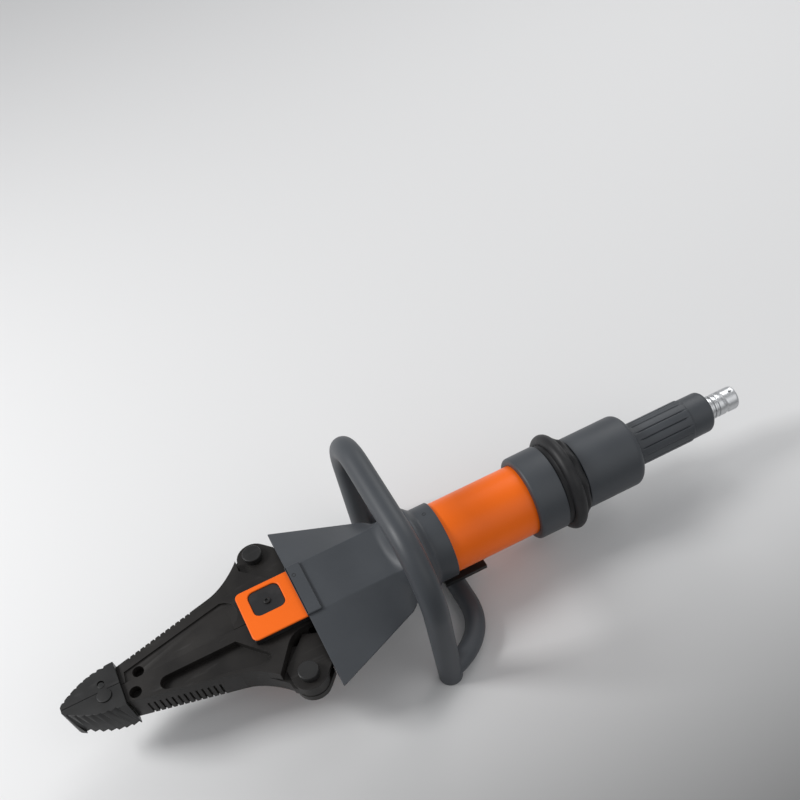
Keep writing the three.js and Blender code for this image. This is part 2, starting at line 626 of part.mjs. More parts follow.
// ---- cylinder ----
const CAP_FRONT = -5;
const CAP_REAR = 8;
add("cylinder_tube", bar(TUBE_FRONT, TUBE_REAR, TUBE_R, BORE_R), ORANGE);
const cap = turned([
  [CAP_FRONT, 0],
  [CAP_FRONT, BORE_R - GAP],
  [CAP_FRONT + 2.5, BORE_R - GAP],
  [CAP_FRONT + 2.5, BORE_R - 4],
  [CAP_FRONT + 6.5, BORE_R - 4],
  [CAP_FRONT + 6.5, BORE_R - GAP],
  [TUBE_REAR + GAP, BORE_R - GAP],
  [TUBE_REAR + GAP, TUBE_R],
  [CAP_REAR, TUBE_R],
  [CAP_REAR, 0],
]);
add("cylinder_end_cap", cap, STEEL);
add("end_cap_seal", bar(CAP_FRONT + 2.8, CAP_FRONT + 6.2, BORE_R - 0.2, BORE_R - 3.7), RUBBER);

// ---- loop handle with its two rear struts and the bracket under the cylinder ----
class LoopPath extends THREE.Curve {
  constructor() {
    super();
    this.leg = LOOP_TOP - LOOP_BEND - FOOT_Z;
    this.bend = (Math.PI / 2) * LOOP_BEND;
    this.top = 2 * (LOOP_Y - LOOP_BEND);
    this.total = 2 * this.leg + 2 * this.bend + this.top;
  }
  getPoint(t, target = new THREE.Vector3()) {
    const half = this.total / 2;
    const distance = t * this.total;
    const mirror = distance > half ? -1 : 1;
    const s = mirror > 0 ? distance : this.total - distance;
    if (s < this.leg) {
      return target.set(LOOP_X, -LOOP_Y * mirror, FOOT_Z + s);
    }
    if (s < this.leg + this.bend) {
      const angle = (s - this.leg) / LOOP_BEND;
      const y = LOOP_Y - LOOP_BEND * (1 - Math.cos(angle));
      return target.set(LOOP_X, -y * mirror, LOOP_TOP - LOOP_BEND * (1 - Math.sin(angle)));
    }
    const run = s - this.leg - this.bend;
    return target.set(LOOP_X, -(LOOP_Y - LOOP_BEND - run) * mirror, LOOP_TOP);
  }
}
add("loop_handle", sweep(new LoopPath(), LOOP_TUBE_R, 16, 40), GREY);

const STRUT_STRAIGHT_Y = 45;
for (const side of [1, -1]) {
  const hand = side > 0 ? "right" : "left";
  const end = LOOP_X + LOOP_TUBE_R + GAP;
  const path = new THREE.CurvePath();
  const start = new THREE.Vector3(STRUT_X, 13 * side, STRUT_Z);
  const bendStart = new THREE.Vector3(STRUT_X, STRUT_STRAIGHT_Y * side, STRUT_Z);
  const bendEnd = new THREE.Vector3(STRUT_X - 44, (LOOP_Y - 2) * side, STRUT_Z);
  const control = new THREE.Vector3(STRUT_X, 2 * STRUT_STRAIGHT_Y * side, STRUT_Z);
  path.add(new THREE.LineCurve3(start, bendStart));
  path.add(new THREE.QuadraticBezierCurve3(bendStart, control, bendEnd));
  const strut = toSolid(sweep(path, STRUT_R, 14, 12))
    .subtract(block(end - 60, end, 80 * side, 130 * side, -90, -20))
    .subtract(post(LOOP_X, LOOP_Y * side, -90, -20, LOOP_TUBE_R + GAP, 32));
  add(`${hand}_strut`, strut, GREY);
}

const BRACKET_TOP = -COLLAR_R - 0.4;
const BRACKET_LOW = STRUT_Z + STRUT_R + GAP;
const bracket = block(-111, -62, -27, 27, BRACKET_LOW, BRACKET_TOP)
  .add(block(-95, -66, -12, 12, BRACKET_TOP - 1, -TUBE_R - GAP))
  .subtract(post(-73, 0, -60, -30, 3 + GAP))
  .subtract(post(-88, 0, -60, -30, 3 + GAP));
add("handle_bracket", bracket, BLACK);
for (const [name, x] of [["rear", -73], ["front", -88]]) {
  const bolt = post(x, 0, BRACKET_LOW - 4, BRACKET_LOW - GAP, 5.5, 6).add(
    post(x, 0, BRACKET_LOW - 1, -TUBE_R - GAP, 3),
  );
  add(`bracket_bolt_${name}`, bolt, BLACK);
}

// ---- control housing, control ring, rear housing and grip ----
const HOUSING_FRONT = -2.8;
const HOUSING_REAR = 29.6;
const frontHousing = turned([
  [HOUSING_FRONT, TUBE_R + GAP],
  [HOUSING_FRONT + 1.4, HOUSING_R - 2.4],
  [HOUSING_FRONT + 5, HOUSING_R],
  [HOUSING_REAR, HOUSING_R],
  [HOUSING_REAR, 31],
  [HOUSING_REAR - 4, 31],
  [HOUSING_REAR - 4, 41],
  [CAP_REAR + GAP, 41],
  [CAP_REAR + GAP, TUBE_R + GAP],
  [HOUSING_FRONT, TUBE_R + GAP],
]);
add("front_housing", frontHousing, GREY);
const VALVE_REAR = 57;
const SPOOL_R = 4.6;
const DRIVE_X = 47;
const valveBody = bar(CAP_REAR + GAP, VALVE_REAR, 30, SPOOL_R + GAP).subtract(
  block(DRIVE_X - 2.6, DRIVE_X + 2.6, -21, 21, 0, 31),
);
add("valve_body", valveBody, STEEL);
add("valve_spool", bar(CAP_REAR + 1, VALVE_REAR - 1, SPOOL_R, 0, SMALL), STEEL);
add("spool_drive_pin", post(DRIVE_X, 0, SPOOL_R + GAP, 30.2, 2, 12), STEEL);

const RING_FRONT = HOUSING_REAR + 0.6;
const ringHub = bar(RING_FRONT + 1, 56, 37, 30.5);
add("control_ring_hub", ringHub, STEEL);
const TREAD_X = 41.3; // middle of the ring's round tread
const TREAD_TUBE_R = 7;
const tread = arc(TREAD_X, RING_R - TREAD_TUBE_R, TREAD_TUBE_R, 192, -12, 8);
const ringTread = turned([
  [RING_FRONT + 1, 37 + GAP],
  [RING_FRONT, 43.5],
  ...tread,
  [53.5, 44.8],
  [57.2, 41.2],
  [57.2, 37 + GAP],
  [RING_FRONT + 1, 37 + GAP],
], 32);
add("control_ring", ringTread, RUBBER);

const REAR_FRONT = 58.5;
const GRIP_FRONT = 127.6;
const GRIP_REAR = 222;
const rearHousing = turned([
  [REAR_FRONT, REAR_R - 4],
  [REAR_FRONT, REAR_R - 0.8],
  [REAR_FRONT + 1, REAR_R],
  [112, REAR_R],
  [118, REAR_R - 2.3],
  [122.5, REAR_R - 7],
  [GRIP_FRONT, GRIP_R + 1],
  [GRIP_FRONT, GRIP_R - 5],
  [119, GRIP_R - 5],
  [110, REAR_R - 4],
  [REAR_FRONT, REAR_R - 4],
]);
add("rear_housing", rearHousing, GREY);
const feedTube = bar(VALVE_REAR + GAP, 221, 6, 3.5, SMALL);
add("oil_feed_tube", feedTube, STEEL);

const RIBS_REAR = 195;
const grip = turned([
  [GRIP_FRONT + GAP, 13],
  [GRIP_FRONT + GAP, GRIP_R],
  [RIBS_REAR, GRIP_R],
  [RIBS_REAR + 0.8, GRIP_R - 1.1],
  [212, GRIP_R - 1.2],
  [217.5, GRIP_R - 3.4],
  [220.5, GRIP_R - 7],
  [GRIP_REAR, COUPLER_R + 0.6],
  [GRIP_REAR, COUPLER_R - 2.5],
  [216, COUPLER_R - 2.5],
  [210, 13],
  [GRIP_FRONT + GAP, 13],
]);
add("rear_grip", grip, GREY);

// ---- hydraulic coupler ----
const coupler = turned([
  [GRIP_REAR + GAP, 7.5],
  [GRIP_REAR + GAP, COUPLER_R],
  [227, COUPLER_R],
  [227, COUPLER_R - 1.2],
  [229, COUPLER_R - 1.2],
  [229, COUPLER_R],
  [232, COUPLER_R],
  [232, COUPLER_R - 1.2],
  [234, COUPLER_R - 1.2],
  [234, COUPLER_R],
  [COUPLER_END - 1, COUPLER_R],
  [COUPLER_END, COUPLER_R - 1],
  [COUPLER_END, 9],
  [242, 9],
  [242, 7.5],
  [GRIP_REAR + GAP, 7.5],
]);
add("coupler_body", coupler, STEEL);
const poppet = turned([
  [236, 0],
  [236, 4],
  [246, 4],
  [246, 8.6],
  [COUPLER_END - 5, 8.6],
  [COUPLER_END - 3.5, 6],
  [COUPLER_END - 3.5, 0],
]);
add("coupler_poppet", poppet, BRONZE);
const bayonetPin = post(252, 0, COUPLER_R + GAP, COUPLER_R + 2.2, 1.8, 12);
add("coupler_bayonet_pin", bayonetPin, BLACK);

// The finished model, moved so that its origin is at the bottom centre of its bounding box.
const model = new THREE.Group();
spreader.position.set(-(TIP_FRONT + COUPLER_END) / 2, 0, -FOOT_Z);
model.add(spreader);

export default model;
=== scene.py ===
"""Looks of a hydraulic rescue spreader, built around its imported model. Metres, +X towards the grip, +Z up."""
import json
import math

import bpy
import bmesh
import numpy as np
from mathutils import Matrix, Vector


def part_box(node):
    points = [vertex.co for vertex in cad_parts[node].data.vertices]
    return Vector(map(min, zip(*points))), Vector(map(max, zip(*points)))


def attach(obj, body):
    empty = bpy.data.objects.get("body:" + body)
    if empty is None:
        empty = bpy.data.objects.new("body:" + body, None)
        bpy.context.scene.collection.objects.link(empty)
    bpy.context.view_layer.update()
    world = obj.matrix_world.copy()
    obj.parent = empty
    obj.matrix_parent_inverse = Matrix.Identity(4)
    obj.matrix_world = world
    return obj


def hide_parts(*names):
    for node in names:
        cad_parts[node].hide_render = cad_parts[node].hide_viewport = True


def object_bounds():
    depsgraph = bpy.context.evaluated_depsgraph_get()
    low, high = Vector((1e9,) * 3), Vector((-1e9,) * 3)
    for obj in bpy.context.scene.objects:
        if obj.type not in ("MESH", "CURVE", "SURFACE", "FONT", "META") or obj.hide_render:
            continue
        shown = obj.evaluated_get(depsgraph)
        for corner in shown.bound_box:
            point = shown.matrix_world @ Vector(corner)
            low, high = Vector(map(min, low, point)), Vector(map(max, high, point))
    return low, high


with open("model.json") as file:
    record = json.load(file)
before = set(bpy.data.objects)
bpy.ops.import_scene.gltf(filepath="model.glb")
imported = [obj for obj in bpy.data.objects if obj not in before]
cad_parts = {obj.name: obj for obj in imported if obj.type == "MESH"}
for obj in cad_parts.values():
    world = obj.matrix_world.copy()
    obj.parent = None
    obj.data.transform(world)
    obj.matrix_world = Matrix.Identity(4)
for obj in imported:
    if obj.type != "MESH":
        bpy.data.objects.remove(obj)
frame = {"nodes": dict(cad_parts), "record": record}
cad_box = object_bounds()

MM = 0.001
UP = np.array([0.0, 0.0, 1.0])
REARWARD = np.array([1.0, 0.0, 0.0])


def span(node):
    """Lowest corner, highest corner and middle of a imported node, as arrays."""
    low, high = (np.array(corner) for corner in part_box(node))
    return low, high, (low + high) / 2


AXIS = span("cylinder_tube")[2] * np.array([0, 1, 1])  # the cylinder's centre line, at x = 0


# ---------------------------------------------------------------- materials
class Shade:
    """A socket whose value varies over a surface. Arithmetic on it adds Math nodes."""

    def __init__(self, finish, socket):
        self.finish = finish
        self.socket = socket

    def math(self, operation, first, second):
        return self.finish.node("ShaderNodeMath", {"operation": operation}, {0: first, 1: second})

    def __add__(self, other):
        return self.math("ADD", self, other)

    def __mul__(self, other):
        return self.math("MULTIPLY", self, other)


class Finish:
    """A material under construction around one Principled shader."""

    def __init__(self, name, **constants):
        self.material = bpy.data.materials.new(name)
        self.material.use_nodes = True
        self.tree = self.material.node_tree
        self.shader = self.tree.nodes["Principled BSDF"]
        for socket, value in constants.items():
            self.shader.inputs[socket.replace("_", " ")].default_value = value
        self.place = self.node("ShaderNodeTexCoord", output="Object")

    def node(self, kind, settings=None, inputs=None, output=0):
        """Any node: its settings are set first, then its sockets. Gives the output asked for."""
        made = self.tree.nodes.new(kind)
        for key, value in (settings or {}).items():
            setattr(made, key, value)
        for key, value in (inputs or {}).items():
            if isinstance(value, Shade):
                self.tree.links.new(value.socket, made.inputs[key])
            else:
                made.inputs[key].default_value = value
        return Shade(self, made.outputs[output])

    def feed(self, **values):
        for socket, value in values.items():
            self.tree.links.new(value.socket, self.shader.inputs[socket.replace("_", " ")])

    def noise(self, size, detail=3.0, stretch=(1, 1, 1)):
        """Noise from 0 to 1 whose blobs are about size metres across."""
        place = self.node("ShaderNodeMapping", {}, {"Vector": self.place, "Scale": stretch})
        return self.node("ShaderNodeTexNoise", {}, {"Vector": place, "Scale": 1 / size, "Detail": detail})

    def between(self, amount, low, high):
        """Colour that goes from low to high as amount goes from 0 to 1."""
        return self.node("ShaderNodeMix", {"data_type": "RGBA"}, {0: amount, 6: (*low, 1), 7: (*high, 1)}, 2)

    def range(self, value, low, high, to_low=0.0, to_high=1.0):
        """value mapped from low..high to to_low..to_high, and held there beyond."""
        inputs = {0: value, 1: low, 2: high, 3: to_low, 4: to_high}
        return self.node("ShaderNodeMapRange", {"clamp": True}, inputs)

    def bump(self, height, depth, strength=1.0):
        return self.node("ShaderNodeBump", {}, {"Height": height, "Distance": depth, "Strength": strength})


def coated_grey():
    """Satin dark grey powder coat: fine grain, faint cloudiness, a few rubbed patches."""
    finish = Finish("grey_powder_coat", Specular_IOR_Level=0.42, Coat_Weight=0.06, Coat_Roughness=0.4)
    cloud = finish.noise(0.06, 4.0)
    grain = finish.noise(0.0011, 2.0)
    tone = finish.range(cloud * 0.75 + grain * 0.25, 0.3, 0.7)
    finish.feed(Base_Color=finish.between(tone, (0.040, 0.045, 0.052), (0.054, 0.060, 0.068)))
    finish.feed(Roughness=finish.range(cloud * 0.6 + grain * 0.4, 0.3, 0.7, 0.42, 0.56))
    finish.feed(Normal=finish.bump(grain, 0.00012, 0.35))
    return finish.material


def painted_orange(name, roughness, dark, light):
    """Orange paint with a soft orange-peel skin."""
    finish = Finish(name, Specular_IOR_Level=0.25, Coat_Weight=0.04, Coat_Roughness=0.35)
    cloud = finish.noise(0.05, 3.0)
    peel = finish.noise(0.0022, 1.5)
    finish.feed(Base_Color=finish.between(cloud, dark, light))
    gloss = cloud * 0.5 + peel * 0.5
    finish.feed(Roughness=finish.range(gloss, 0.3, 0.7, roughness - 0.05, roughness + 0.06))
    finish.feed(Normal=finish.bump(peel, 0.00015, 0.3))
    return finish.material


def blackened(name, dark, light, roughness, metal=0.2):
    """Blackened forged metal: fine pitted grain, smoky variation and lighter rubbed specks."""
    finish = Finish(name, Metallic=metal, Specular_IOR_Level=0.3)
    cloud = finish.noise(0.035, 5.0)
    pits = finish.noise(0.0009, 4.0)
    rubs = finish.range(finish.noise(0.012, 8.0, (0.35, 1.6, 1.6)), 0.6, 0.78)
    tone = finish.range(cloud * 0.8 + pits * 0.2, 0.32, 0.68)
    base = finish.between(tone, dark, light)
    rubbed = finish.node(
        "ShaderNodeMix", {"data_type": "RGBA"}, {0: rubs * 0.3, 6: base, 7: (0.075, 0.073, 0.072, 1)}, 2
    )
    finish.feed(Base_Color=rubbed)
    gloss = cloud * 0.6 + pits * 0.4
    finish.feed(Roughness=finish.range(gloss, 0.3, 0.7, roughness - 0.06, roughness + 0.09))
    finish.feed(Normal=finish.bump(pits, 0.00018, 0.4))
    return finish.material


def rubber(name):
    """Soft black rubber with a fine matt grain and dust."""
    finish = Finish(name, Specular_IOR_Level=0.35)
    grain = finish.noise(0.0007, 3.0)
    dust = finish.range(finish.noise(0.02, 6.0), 0.45, 0.8)
    finish.feed(Base_Color=finish.between(dust, (0.013, 0.013, 0.014), (0.026, 0.026, 0.027)))
    finish.feed(Roughness=finish.range(dust * 0.5 + grain * 0.5, 0.2, 0.8, 0.45, 0.66))
    finish.feed(Normal=finish.bump(grain, 0.0001, 0.4))
    return finish.material


def turned_metal(name, dark, light, roughness, line=0.0005):
    """Machined metal: fine tool lines across X, with slight stains."""
    finish = Finish(name, Metallic=1.0, Specular_IOR_Level=0.5)
    lines = finish.noise(0.02, 2.0, (0.02 / line, 1, 1))
    stains = finish.noise(0.02, 4.0)
    finish.feed(Base_Color=finish.between(finish.range(stains * 0.6 + lines * 0.4, 0.3, 0.7), dark, light))
    gloss = stains * 0.4 + lines * 0.6
    finish.feed(Roughness=finish.range(gloss, 0.3, 0.7, roughness - 0.06, roughness + 0.1))
    finish.feed(Normal=finish.bump(lines, 0.00001, 0.12))
    return finish.material


FINISHES = {
    "grey_coating": coated_grey(),
    "orange_paint": painted_orange("orange_cylinder_paint", 0.36, (0.93, 0.145, 0.003), (1.0, 0.168, 0.005)),
    # The guard plates take the same orange paint made darker: painted shade, not a different paint.
    "orange_plate": painted_orange("orange_plate_paint_with_painted_shade", 0.46, (0.84, 0.128, 0.003), (0.92, 0.150, 0.005)),
    "ring_rubber": rubber("ring_rubber"),
    "seal_rubber": rubber("seal_rubber"),
    "black_casting": blackened("black_casting", (0.013, 0.012, 0.0115), (0.022, 0.020, 0.0185), 0.42),
    "tip_steel": blackened("black_tip_steel", (0.014, 0.014, 0.014), (0.026, 0.026, 0.026), 0.38),
    "black_steel": blackened("black_pin_steel", (0.018, 0.018, 0.018), (0.028, 0.028, 0.028), 0.36),
    "bronze": turned_metal("bearing_bronze", (0.42, 0.26, 0.11), (0.55, 0.36, 0.17), 0.3),
    "dark_insert": rubber("window_plastic"),
    "coupler_steel": turned_metal("bright_coupler_steel", (0.55, 0.56, 0.57), (0.66, 0.67, 0.68), 0.32),
    "inner_steel": turned_metal("ground_steel", (0.42, 0.43, 0.44), (0.6, 0.61, 0.62), 0.3),
}
SLOTS = {part["node"]: part["material_slot"] for part in frame["record"]["subparts"]}
BODIES = frame["record"]["behaviour"]["bodies"]
BODY_OF = {node: body for body, nodes in BODIES.items() for node in nodes}
for node, obj in frame["nodes"].items():
    obj.data.materials.clear()
    obj.data.materials.append(FINISHES[SLOTS[node]])


# ---------------------------------------------------------------- surfaces
def finish_piece(piece, *nodes, smooth=30):
    """The piece takes its finish and body from the nodes that it stands for."""
    piece.data.materials.clear()
    piece.data.materials.append(FINISHES[SLOTS[nodes[0]]])
    piece.data.shade_smooth()
    piece.data.set_sharp_from_angle(angle=math.radians(smooth))
    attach(piece, BODY_OF[nodes[0]])
    if not piece.get("extra"):
        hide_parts(*nodes)
    return piece


def skin(name, points, faces, extra=False):
    """A mesh object from points and faces, facing outwards."""
    mesh = bpy.data.meshes.new(name)
    mesh.from_pydata(np.asarray(points).tolist(), [], [list(map(int, face)) for face in faces])
    work = bmesh.new()
    work.from_mesh(mesh)
    bmesh.ops.remove_doubles(work, verts=work.verts, dist=1e-7)
    bmesh.ops.recalc_face_normals(work, faces=work.faces)
    work.to_mesh(mesh)
    work.free()
    piece = bpy.data.objects.new(name, mesh)
    bpy.context.scene.collection.objects.link(piece)
    if extra:
        piece["extra"] = True
    return piece


def grid_faces(rows, columns, wrap_rows=False):
    """Quads of a grid whose columns close on themselves, and whose rows do too if wrap_rows."""
    r = np.arange(rows if wrap_rows else rows - 1)[:, None]
    c = np.arange(columns)[None, :]
    below, beside = (r + 1) % rows, (c + 1) % columns
    corners = (r * columns + c, r * columns + beside, below * columns + beside, below * columns + c)
    return np.stack([np.broadcast_to(x, (len(r), columns)) for x in corners], -1).reshape(-1, 4)


def rounded(corners, steps=5, closed=False):
    """A polyline through (a, b, radius) corners, with an arc of that radius in each corner.
    The arc starts and ends at radius * tan(half the turn) from the corner."""
    corners = [(float(a), float(b), float(r)) for a, b, r in corners]
    count = len(corners)
    points = []
    for i, (a, b, radius) in enumerate(corners):
        here = np.array([a, b])
        if radius <= 0 or (not closed and i in (0, count - 1)):
            points.append(here)
            continue
        before = np.array(corners[i - 1][:2]) - here
        after = np.array(corners[(i + 1) % count][:2]) - here
        before_length, after_length = np.linalg.norm(before), np.linalg.norm(after)
        before, after = before / before_length, after / after_length
        half = math.acos(np.clip(before @ after, -1, 1)) / 2
        reach = min(radius / math.tan(half), 0.48 * before_length, 0.48 * after_length)
        radius = reach * math.tan(half)
        middle = before + after
        centre = here + middle / np.linalg.norm(middle) * math.hypot(reach, radius)
        start, end = here + before * reach - centre, here + after * reach - centre
        from_angle = math.atan2(start[1], start[0])
        turn = (math.atan2(end[1], end[0]) - from_angle + math.pi) % (2 * math.pi) - math.pi
        angles = from_angle + turn * np.linspace(0, 1, steps + 1)
        points.extend(centre + radius * np.stack([np.cos(angles), np.sin(angles)], -1))
    return np.array(points)


def turned(name, corners, origin, axis=REARWARD, columns=96, swell=None, steps=5, extra=False):
    """Surface of revolution: a closed profile of (distance along the axis, radius, corner radius)
    corners, carried round the axis. swell(along, angle, radius) gives a new radius."""
    closed = corners[0][1] > 0
    profile = rounded(corners, steps, closed)
    along = profile[:, :1]
    angle = np.linspace(0, 2 * np.pi, columns, endpoint=False)[None, :]
    radius = profile[:, 1:] + 0 * angle
    if swell:
        radius = swell(along + 0 * angle, angle + 0 * radius, radius)
    axis = np.asarray(axis, float)
    side = np.array([0.0, 1.0, 0.0]) if abs(axis[1]) < 0.01 else REARWARD
    other = np.cross(axis, side)
    points = (
        np.asarray(origin, float)
        + along[..., None] * axis
        + (radius * np.cos(angle))[..., None] * side
        + (radius * np.sin(angle))[..., None] * other
    )
    faces = grid_faces(len(profile), columns, closed)
    return skin(name, points.reshape(-1, 3), faces, extra)


def tube(name, path, normal, radius, columns=40, end_round=0.0015):
    """A round tube along a flat path. normal is perpendicular to the path's plane. At each end the last
    rings shrink by a quarter circle of end_round, and a flat face closes the tube."""
    path = np.asarray(path, float)
    tangent = np.gradient(path, axis=0)
    tangent /= np.linalg.norm(tangent, axis=1)[:, None]
    normal = np.asarray(normal, float)
    across = np.cross(tangent, normal)
    ease = np.linspace(0, np.pi / 2, 5)
    inset = end_round * (1 - np.sin(ease))
    start = path[0] + tangent[0] * (end_round * (1 - np.cos(ease)))[:, None]
    end = path[-1] - tangent[-1] * (end_round * (1 - np.cos(ease)))[:, None]
    centres = np.vstack([start, path[1:-1], end[::-1]])
    sides = np.vstack([np.repeat(across[:1], 5, 0), across[1:-1], np.repeat(across[-1:], 5, 0)])
    radii = np.concatenate([radius - inset, np.full(len(path) - 2, radius), (radius - inset)[::-1]])
    angle = np.linspace(0, 2 * np.pi, columns, endpoint=False)
    ring = np.cos(angle)[None, :, None] * normal + np.sin(angle)[None, :, None] * sides[:, None, :]
    size = radii[:, None] + 0 * angle[None, :]
    points = centres[:, None, :] + size[..., None] * ring
    faces = grid_faces(len(centres), columns).tolist()
    last = (len(centres) - 1) * columns
    faces += [list(range(columns)), list(range(last, last + columns))]
    return skin(name, points.reshape(-1, 3), faces)


def slab(name, corners, low, high, edge, steps=4, extra=False):
    """A flat plate: an outline of (x, y, corner radius) corners raised from low to high, whose two rims
    are rounded over edge by moving the outline in along its own normals."""
    line = rounded(corners, steps, closed=True)
    ahead, behind = np.roll(line, -1, 0), np.roll(line, 1, 0)
    along = ahead - behind
    along /= np.linalg.norm(along, axis=1)[:, None]
    area = np.sum(line[:, 0] * ahead[:, 1] - ahead[:, 0] * line[:, 1])
    inward = np.stack([-along[:, 1], along[:, 0]], -1) * np.sign(area)
    ease = np.linspace(0, np.pi / 2, 5)
    inset = np.concatenate([edge * (1 - np.sin(ease)), (edge * (1 - np.sin(ease)))[::-1]])
    height = np.concatenate([low + edge * (1 - np.cos(ease)), (high - edge * (1 - np.cos(ease)))[::-1]])
    flat = line[None] + inset[:, None, None] * inward[None]
    points = np.concatenate([flat, np.broadcast_to(height[:, None, None], (10, len(line), 1))], -1)
    faces = grid_faces(10, len(line)).tolist()
    last = 9 * len(line)
    faces += [list(range(len(line))), list(range(last, last + len(line)))]
    return skin(name, points.reshape(-1, 3), faces, extra)


def softened(name, node, width, segments=2, angle=32):
    """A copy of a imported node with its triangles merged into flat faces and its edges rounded."""
    mesh = frame["nodes"][node].data.copy()
    work = bmesh.new()
    work.from_mesh(mesh)
    bmesh.ops.remove_doubles(work, verts=work.verts, dist=1e-6)
    bmesh.ops.dissolve_limit(work, angle_limit=math.radians(0.5), verts=work.verts, edges=work.edges)
    work.to_mesh(mesh)
    work.free()
    piece = bpy.data.objects.new(name, mesh)
    bpy.context.scene.collection.objects.link(piece)
    bevel = piece.modifiers.new("rounded edges", "BEVEL")
    bevel.width = width
    bevel.segments = segments
    bevel.limit_method = "ANGLE"
    bevel.angle_limit = math.radians(angle)
    bevel.harden_normals = False
    bevel.use_clamp_overlap = True
    finish_piece(piece, node, smooth=angle)
    return piece


# ---------------------------------------------------------------- arms, tips, yoke and plates
for hand in ("right", "left"):
    softened(f"{hand}_spreading_arm", f"{hand}_arm", 1.1 * MM, 3)
    softened(f"{hand}_gripping_tip", f"{hand}_tip", 0.6 * MM, 2)
    softened(f"{hand}_hex_nut", f"{hand}_pivot_nut", 0.6 * MM)
softened("pivot_yoke", "yoke", 1.0 * MM, 3)
for place in ("upper", "lower"):
    softened(f"{place}_orange_plate", f"{place}_guard_plate", 1.0 * MM, 3)
    softened(f"{place}_window", f"{place}_guard_insert", 0.4 * MM)
softened("bracket_plate", "handle_bracket", 0.8 * MM, 3)
for place in ("front", "rear"):
    softened(f"bracket_{place}_hex_bolt", f"bracket_bolt_{place}", 0.4 * MM)


def pin_along_z(name, node, corners, **options):
    """A turned pin standing on its node's middle. Corners are (height, radius, corner radius)."""
    middle = span(node)[2]
    piece = turned(name, corners, (middle[0], middle[1], 0), UP, **options)
    return finish_piece(piece, node)


for hand in ("right", "left"):
    low, high, middle = span(f"{hand}_pivot_pin")
    head_r = (high[0] - low[0]) / 2
    head_z = high[2] - 7.2 * MM
    corners = [
        (low[2], 0, 0),
        (low[2], 7.5 * MM, 1 * MM),
        (head_z, 7.5 * MM, 0),
        (head_z, head_r, 0.4 * MM),
        (high[2], head_r, 1.2 * MM),
        (high[2], 0, 0),
    ]
    pin_along_z(f"{hand}_pivot_bolt", f"{hand}_pivot_pin", corners)

for hand in ("right", "left"):
    low, high, middle = span(f"{hand}_tip_pin")
    head_r = (high[0] - low[0]) / 2
    above = high[2] + low[2] > 2 * AXIS[2]
    face, foot = (high[2], low[2]) if above else (low[2], high[2])
    into = -MM if above else MM
    corners = [
        (face, 0, 0), (face, head_r, 0.5 * MM), (face + 1.1 * into, head_r, 0.1 * MM),
        (face + 1.1 * into, 3.5 * MM, 0), (foot, 3.5 * MM, 0.5 * MM), (foot, 0, 0),
    ]
    pin_along_z(f"{hand}_lock_pin", f"{hand}_tip_pin", corners)
for place, sign in (("upper", 1), ("lower", -1)):
    low, high, middle = span(f"{place}_guard_screw")
    head_r = (high[0] - low[0]) / 2
    face, foot = (high[2], low[2]) if sign > 0 else (low[2], high[2])
    into = -sign * MM
    corners = [
        (face + 1.4 * into, 0, 0), (face + 1.4 * into, 1.8 * MM, 0.1 * MM), (face, 1.8 * MM, 0.2 * MM),
        (face, head_r, 0.7 * MM), (face + 1.7 * into, head_r, 0.1 * MM), (face + 1.7 * into, 2 * MM, 0),
        (foot, 2 * MM, 0.3 * MM), (foot, 0, 0),
    ]
    pin_along_z(f"{place}_cap_screw", f"{place}_guard_screw", corners)
# ---------------------------------------------------------------- cover
RIM, COLLAR_END = span("cover")[0][0], span("cover")[1][0]
RIM_TIP = span("cover")[1][1]
PANEL_HALF, PANEL_TOP = 31.5 * MM, 26.5 * MM
SHOULDER = 48 * MM
COLLAR = 41.4 * MM
NECK = RIM + 98 * MM
NECK_TIP = 64 * MM
ROUND_AT = RIM + 119 * MM
SLOPE_START, SLOPE_END = RIM + 130.4 * MM, RIM + 140 * MM
SIDE_ROUND, PANEL_ROUND = 0.8 * MM, 2.5 * MM
LIP_TOP, LIP_REAR = 29.6 * MM, RIM + 15 * MM


def cover_ring(x, wall):
    """One section of the cover, moved in by wall. Up to the neck it is a six-sided outline with rounded
    corners. Behind it, it swells into a circle by mixing radii at equal polar angles."""
    toward_neck = (x - RIM) / (NECK - RIM)
    tip = RIM_TIP + (NECK_TIP - RIM_TIP) * toward_neck - 2.85 * wall
    flat, top = PANEL_HALF - 0.35 * wall, PANEL_TOP - wall
    corners = [
        (tip, 0, SIDE_ROUND), (flat, top, PANEL_ROUND), (-flat, top, PANEL_ROUND),
        (-tip, 0, SIDE_ROUND), (-flat, -top, PANEL_ROUND), (flat, -top, PANEL_ROUND),
    ]
    line = rounded(corners, 6, closed=True)
    line = np.vstack([np.linspace(a, b, 32, endpoint=False) for a, b in zip(line, np.roll(line, -1, 0))])
    angles = np.unwrap(np.arctan2(line[:, 1], line[:, 0]))
    radii = np.hypot(line[:, 0], line[:, 1])
    wanted = COVER_ANGLES
    order = np.argsort(angles % (2 * np.pi))
    base = (angles % (2 * np.pi))[order]
    radius = np.interp(wanted, base, radii[order], period=2 * np.pi)
    t = np.clip((x - NECK + 4 * MM) / (ROUND_AT - NECK + 4 * MM), 0, 1)
    roundness = t * t * (3 - 2 * t)
    down = np.clip((x - SLOPE_START) / (SLOPE_END - SLOPE_START), 0, 1)
    barrel = SHOULDER + (COLLAR - SHOULDER) * down * down * (3 - 2 * down) - wall
    radius = radius + (barrel - radius) * roundness
    return np.stack([np.full(len(wanted), x), radius * np.cos(wanted), radius * np.sin(wanted)], -1) + AXIS


